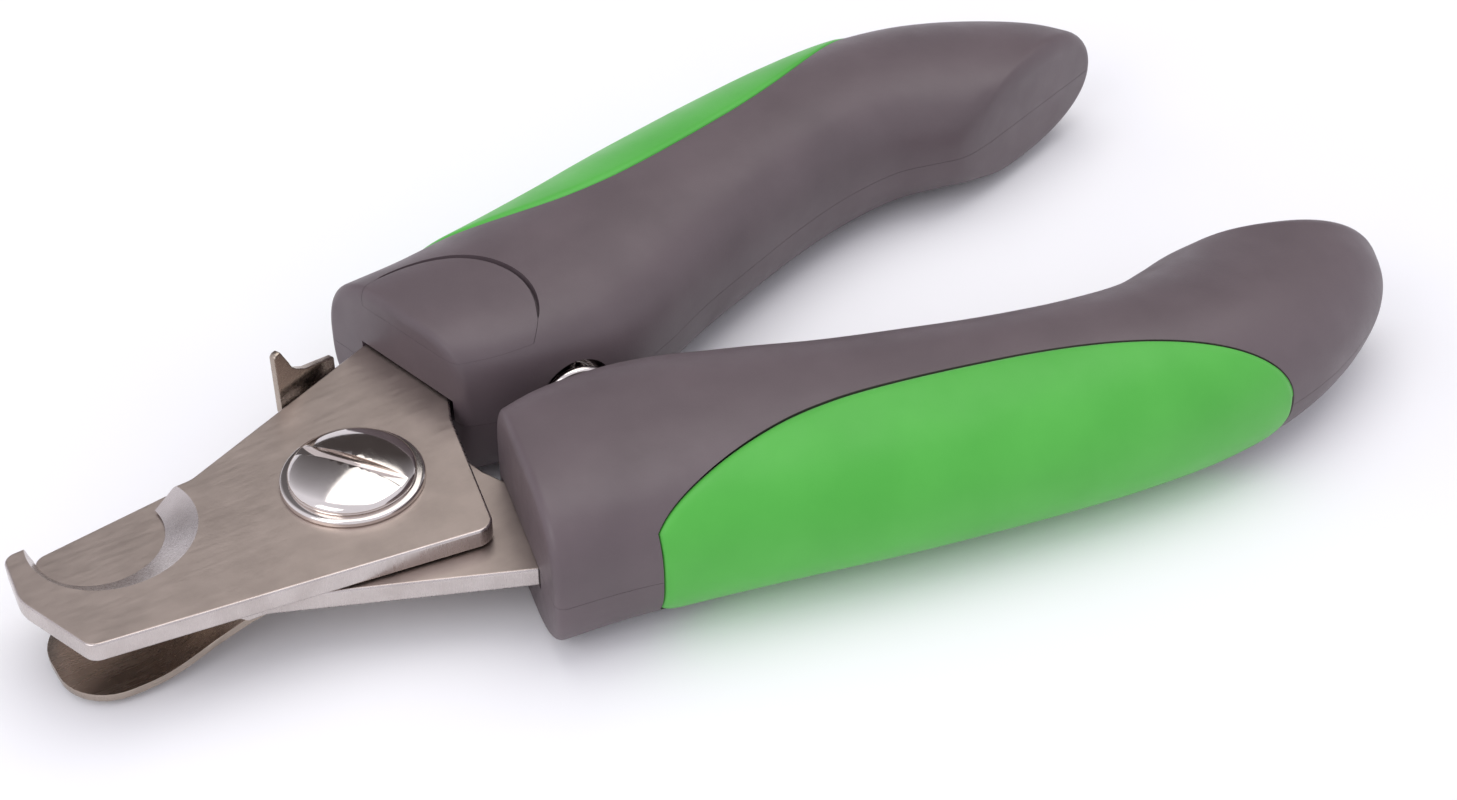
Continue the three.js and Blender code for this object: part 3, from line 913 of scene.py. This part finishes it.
# Gaps and overlaps too small to see, which keep faces of two pieces from lying in one plane.
SEAT_GAP = 0.02
SLIVER = 0.01
SHANK_CHAMFER = 0.5
HEAD_RADIUS = 6.2
HEAD_RIM = 0.34
# How far the head's lower edge is chamfered, inwards and upwards.
HEAD_CHAMFER = (0.2, 0.15)
# The coin slot's width and depth, and its angle in radians.
HEAD_SLOT = (1.3, 0.95, -0.97)
# How far the slot's cutter reaches each way from the axis, and over the crown.
SLOT_CUTTER = (9.0, 2.0)
# Inner and outer radii, and the sizes of their chamfers and of the collar's round.
COLLAR = (3.2, 7.0)
COLLAR_ROUND = 0.35
COLLAR_CHAMFER = 0.2
WASHER = (3.2, 5.5)
THIN_CHAMFER = 0.1
NUT_FLATS = 9.8
# The cone that chamfers the nut: how far it starts inside and ends outside its corners, and its height.
NUT_CONE = (0.9, 0.15, 0.6)
# The nut's countersink: how much wider than the screw it is, and its depth.
NUT_SINK = (0.6, 0.5)
NUT_GAP = 0.05


def pivot_screw():
    """Domed head with a rolled rim and a coin slot, on a plain shank with a chamfered end."""
    low = top_of("screw_collar") + SEAT_GAP
    crown = top_of("pivot_screw")
    rim = low + HEAD_RIM
    dome = [
        (HEAD_RADIUS * math.sin(a), rim + (crown - rim) * math.cos(a))
        for a in np.linspace(0, math.pi / 2, 15)[1:]
    ]
    inwards, upwards = HEAD_CHAMFER
    profile = [
        (0, 0), (PIVOT_RADIUS - SHANK_CHAMFER, 0), (PIVOT_RADIUS, SHANK_CHAMFER), (PIVOT_RADIUS, low),
        (HEAD_RADIUS - inwards, low), (HEAD_RADIUS, low + upwards), *reversed(dome), (0, crown),
    ]
    screw = turned("pivot_screw_piece", profile, 128)
    width, depth, angle = HEAD_SLOT
    reach, over = SLOT_CUTTER
    cutter = block("slot", (-reach, -width / 2, crown - depth), (reach, width / 2, crown + over))
    cutter.rotation_euler = (0, 0, angle)
    combine(screw, cutter, "DIFFERENCE")
    rounded_edges(screw, 0.09, 2, 40)
    crease(screw, 40)
    settle(screw, "far_half", "bright_steel", BRIGHT, "pivot_screw")


def screw_collar():
    low, high = bottom_of("screw_collar") + SLIVER, top_of("screw_collar")
    inner, outer = COLLAR
    x, z = outer - COLLAR_ROUND, high - COLLAR_ROUND
    profile = [(inner, low), (outer - THIN_CHAMFER, low), (outer, low + THIN_CHAMFER)]
    profile += [(x + COLLAR_ROUND * math.cos(a), z + COLLAR_ROUND * math.sin(a))
                for a in np.linspace(0, math.pi / 2, 7)]
    profile += [(inner + COLLAR_CHAMFER, high), (inner, high - COLLAR_CHAMFER)]
    collar = crease(turned_ring("screw_collar_piece", profile, 128), 40)
    settle(collar, "far_half", "bright_steel", BRIGHT, "screw_collar")


def friction_washer():
    low, high = bottom_of("friction_washer"), top_of("friction_washer")
    inner, outer = WASHER
    profile = [
        (inner, low), (outer - THIN_CHAMFER, low), (outer, low + THIN_CHAMFER),
        (outer, high - THIN_CHAMFER), (outer - THIN_CHAMFER, high), (inner, high),
    ]
    washer = crease(turned_ring("friction_washer_piece", profile), 40)
    settle(washer, "far_half", "plain_steel", PLAIN, "friction_washer")


def lock_nut():
    """Hexagon nut with both ends chamfered by a cone, and a countersunk bore."""
    low, high = bottom_of("lock_nut"), top_of("lock_nut")
    corner = NUT_FLATS / math.sqrt(3)
    nut = slab("lock_nut_piece", circle(0, 0, corner, 6), low, high)
    inside, outside, height = NUT_CONE
    inside, outside = corner - inside, corner + outside
    cone = turned("cone", [
        (0, low - SLIVER), (inside, low - SLIVER), (outside, low + height),
        (outside, high - height), (inside, high + SLIVER), (0, high + SLIVER),
    ])
    combine(nut, cone, "INTERSECT")
    wide, narrow = PIVOT_RADIUS + NUT_SINK[0], PIVOT_RADIUS + NUT_GAP
    bore = turned("bore", [
        (0, low - BEYOND), (wide, low - BEYOND), (wide, low), (narrow, low + NUT_SINK[1]),
        (narrow, high + BEYOND), (0, high + BEYOND),
    ])
    combine(nut, bore, "DIFFERENCE")
    settle(flat_faces(crease(nut, 25)), "far_half", "bright_steel", BRIGHT, "lock_nut")


# ---------- safety guard ----------

GUARD_SHEET = 0.8
# How far the stop plate hangs under the strip, and the strip's gap over the washer.
GUARD_DROP = 4.1
GUARD_LIFT = 0.2
GUARD_GAP = 0.15
GUARD_BORE_TOP = 12.0
GUARD_PLAN = [
    (-31.4, -6.2, 5.2), (-18, -6.6, 4), (-6, -7.6, 4), (7.6, -7.6, 7), (7.6, 7.6, 5),
    (7.2, 19.6, 0.5), (-0.6, 16.2, 0.5), (-6, 7.4, 3), (-18, 6.6, 4), (-31.4, 6.2, 5.2),
]
# Where the strip steps down to the stop plate, and how soft the bends there are.
JOGGLE = (-22.8, -13.2)
JOGGLE_BEND = 0.1
# The stations where the flat strip is cut across, so that it can bend.
STRIP_CUTS = (-31, 7, 0.7)
STRIP_EDGE = 0.16
TAB_EDGE = 0.14
TAB_ROOT = (-0.9, 14.75)
TAB_ANGLE = 0.403
# The tab's foot along the tab, and how far it starts over the washer's underside.
TAB_FOOT = (4.6, 8)
FOOT_HEIGHT = 0.8
# The underside of the flag over the plane between the blades.
TAB_CLEAR = 0.2
# The flag's upper edge, as distances along the tab and heights over the upper blade.
TAB_CREST = [
    (8, 0.2), (5.6, 0.9), (4.0, 1.35), (2.8, 2.1), (2.15, 2.75), (1.9, 3.4), (0.9, 5.4),
    (0.35, 5.35), (0.02, 5.1),
]


def guard_height(x):
    """Top of the guard's sheet along its length, with soft bends."""
    top = top_of("friction_washer") + GUARD_LIFT + GUARD_SHEET
    s = (x - JOGGLE[0]) / (JOGGLE[1] - JOGGLE[0])
    ramp = JOGGLE_BEND * (np.logaddexp(0, s / JOGGLE_BEND) - np.logaddexp(0, (s - 1) / JOGGLE_BEND))
    return top - GUARD_DROP * (1 - ramp)


def guard_strip():
    """The flat part of the guard, cut out in plan, softened at its edges and then bent."""
    strip = slab("safety_guard_piece", rounded(GUARD_PLAN, 10), 0, GUARD_SHEET)

    def cut(work):
        for x in np.arange(*STRIP_CUTS):
            geometry = list(work.verts) + list(work.edges) + list(work.faces)
            plane = Vector((x * MM, 0, 0))
            bmesh.ops.bisect_plane(work, geom=geometry, plane_co=plane, plane_no=Vector((1, 0, 0)))
    edit(strip, cut)
    rounded_edges(strip, STRIP_EDGE, 2, 50)

    def lift(work):
        for vertex in work.verts:
            vertex.co.z += (guard_height(vertex.co.x / MM) - GUARD_SHEET) * MM
    edit(strip, lift)
    return strip


def guard_tab():
    """The finger tab: a flag of the same sheet that stands up beside the upper blade."""
    low = bottom_of("friction_washer") + FOOT_HEIGHT
    clear = MID + TAB_CLEAR
    face = [(TAB_FOOT[0], low), (TAB_FOOT[1], low)]
    face += [(x, BLADE_TOP + z) for x, z in TAB_CREST]
    face += [(0, clear), (TAB_FOOT[0], clear)]
    along = Vector((math.cos(TAB_ANGLE), math.sin(TAB_ANGLE)))
    side = Vector((-along.y, along.x))
    ends = []
    for depth in (0, GUARD_SHEET):
        root = Vector(TAB_ROOT) + side * depth
        ends.append([(*(root + along * x), z) for x, z in face])
    return rounded_edges(prism("tab", *ends), TAB_EDGE, 2, 50)


def safety_guard():
    guard = guard_strip()
    combine(guard, guard_tab(), "UNION")
    drill(guard, 0, 0, PIVOT_RADIUS + GUARD_GAP, 0, GUARD_BORE_TOP)
    settle(flat_faces(crease(guard, 40)), "guard", "blade_steel", GUARD, "safety_guard")


# ---------- return spring ----------

SPRING_RADIUS = 3.4
SPRING_WIRE = 1.1
SPRING_TURNS = 7
WIRE_SIDES = 12
WIRE_STEPS = 40
# The end coils: their pitch against the middle's, and the share of the length where it grows.
FLAT_PITCH = 0.25
FLAT_END = (-0.02, 0.22)


def return_spring():
    """Helix whose end coils lie flat, swept as a round wire with ground ends."""
    low, high = (v / MM for v in (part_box("return_spring")[0][1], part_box("return_spring")[1][1]))
    length = high - low - SPRING_WIRE
    s = np.linspace(0, 1, SPRING_TURNS * WIRE_STEPS + 1)
    steep = smoothstep(s, *FLAT_END) * smoothstep(1 - s, *FLAT_END)
    pitch = FLAT_PITCH + (1 - FLAT_PITCH) * steep
    advance = np.concatenate([[0], np.cumsum((pitch[1:] + pitch[:-1]) / 2)])
    y = low + SPRING_WIRE / 2 + length * advance / advance[-1]
    a = 2 * math.pi * SPRING_TURNS * s + math.pi / 2
    radial = np.stack([np.cos(a), np.zeros_like(a), np.sin(a)], axis=-1)
    line = np.array([SPRING_X, 0, MID]) + SPRING_RADIUS * radial
    line[:, 1] = y
    tangent = np.gradient(line, axis=0)
    tangent /= np.linalg.norm(tangent, axis=-1)[:, None]
    side = np.cross(tangent, radial)
    b = np.linspace(0, 2 * math.pi, WIRE_SIDES, endpoint=False)[None, :, None]
    around = radial[:, None] * np.cos(b) + side[:, None] * np.sin(b)
    rings = line[:, None] + SPRING_WIRE / 2 * around
    spring = crease(loft("return_spring_piece", rings), 50)
    spring.data.materials.append(BRIGHT)
    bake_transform(spring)
    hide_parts("return_spring")


# ---------- hidden pins ----------


def tang_pins():
    """The pins stay as they are in the CAD, with a steel material."""
    for name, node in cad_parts.items():
        if "tang_pin" in name:
            node.data.materials.clear()
            node.data.materials.append(PLAIN)


# ---------- stage, light and camera ----------

AIM = Vector((36.81, -9.20, 10.2)) * MM
AZIMUTH = -32.34
ELEVATION = 39.42
DISTANCE = 242.16 * MM
LENS = 60.0
SENSOR = 36.0
FLOOR_SIZE = 1800.0
WALL_HEIGHT = 300.0
DARK_SIDE = (148.0, 18.0)
WORLD_STRENGTH = 0.95


def direction(azimuth, elevation):
    """The way towards an azimuth and elevation in degrees: azimuth 0 is -Y and 90 is +X."""
    a, e = math.radians(azimuth), math.radians(elevation)
    return Vector((math.sin(a) * math.cos(e), -math.cos(a) * math.cos(e), math.sin(e)))


def floor_material():
    n = Nodes("pale_floor")
    n.colour(n.ramp(n.noise(60.0, 3), (0.90, 0.90, 0.915), (0.915, 0.915, 0.925)))
    n.set(Roughness=0.75, Specular_IOR_Level=0.2)
    n.bump([(n.noise(1.5, 3), 0.01, 0.1)])
    return n.material


def stage():
    """A pale sweep: a floor that curves up into a wall well behind the object."""
    bend, radius = FLOOR_SIZE / 2, WALL_HEIGHT / 2
    rows = [(-FLOOR_SIZE, 0.0)] + [
        (bend + radius * math.sin(a), radius * (1 - math.cos(a)))
        for a in np.linspace(0, math.pi / 2, 13)
    ]
    rows.append((bend + radius, WALL_HEIGHT))
    low = CAD_BOX[0][2] / MM
    back = direction(AZIMUTH, 0).xy
    across = Vector((-back.y, back.x))
    points = []
    for reach in (-FLOOR_SIZE, FLOOR_SIZE):
        for distance, height in rows:
            plan = AIM.xy / MM - back * distance + across * reach
            points.append((plan.x, plan.y, low + height))
    count = len(rows)
    faces = [(j, j + 1, count + j + 1, count + j) for j in range(count - 1)]
    floor = mesh_object("floor", points, faces)
    floor.data.materials.append(floor_material())


def area_light(name, azimuth, elevation, distance, size, power, colour=(1, 1, 1)):
    """A soft square light that looks at the object."""
    data = bpy.data.lights.new(name, "AREA")
    data.shape = "SQUARE"
    data.size = size
    data.energy = power
    data.color = colour
    lamp = bpy.data.objects.new(name, data)
    way = direction(azimuth, elevation)
    lamp.location = AIM + way * distance
    lamp.rotation_euler = way.to_track_quat("Z", "Y").to_euler()
    bpy.context.collection.objects.link(lamp)


def surroundings():
    """A pale studio with one dark side, which gives polished metal something to mirror."""
    world = bpy.context.scene.world or bpy.data.worlds.new("world")
    bpy.context.scene.world = world
    world.use_nodes = True
    tree = world.node_tree
    background = tree.nodes["Background"]
    background.inputs["Strength"].default_value = WORLD_STRENGTH
    place = tree.nodes.new("ShaderNodeTexCoord")
    facing = tree.nodes.new("ShaderNodeVectorMath")
    facing.operation = "DOT_PRODUCT"
    facing.inputs[1].default_value = direction(*DARK_SIDE)
    shade = tree.nodes.new("ShaderNodeValToRGB")
    pale, dark = shade.color_ramp.elements
    pale.position, pale.color = 0.35, (0.93, 0.92, 1.0, 1)
    dark.position, dark.color = 0.95, (0.07, 0.06, 0.06, 1)
    tree.links.new(place.outputs["Generated"], facing.inputs[0])
    tree.links.new(facing.outputs["Value"], shade.inputs["Fac"])
    tree.links.new(shade.outputs["Color"], background.inputs["Color"])


def lights():
    surroundings()
    area_light("overhead_softbox", 125, 72, 0.75, 0.75, 2.6, (1.0, 0.985, 0.955))
    area_light("left_softbox", -75, 38, 0.7, 0.4, 0.9)
    settings = bpy.context.scene.view_settings
    settings.view_transform = "Standard"
    settings.look = "None"


def camera():
    data = bpy.data.cameras.new("camera")
    data.lens = LENS
    data.sensor_width = SENSOR
    data.clip_start = 0.01
    data.clip_end = 10.0
    view = bpy.data.objects.new("camera", data)
    back = direction(AZIMUTH, ELEVATION)
    view.location = AIM + back * DISTANCE
    view.rotation_euler = back.to_track_quat("Z", "Y").to_euler()
    bpy.context.collection.objects.link(view)
    bpy.context.scene.camera = view


camera()
stage()
lights()
blades()
for label in SIDES:
    handle(label)
pivot_screw()
screw_collar()
friction_washer()
lock_nut()
safety_guard()
return_spring()
tang_pins()
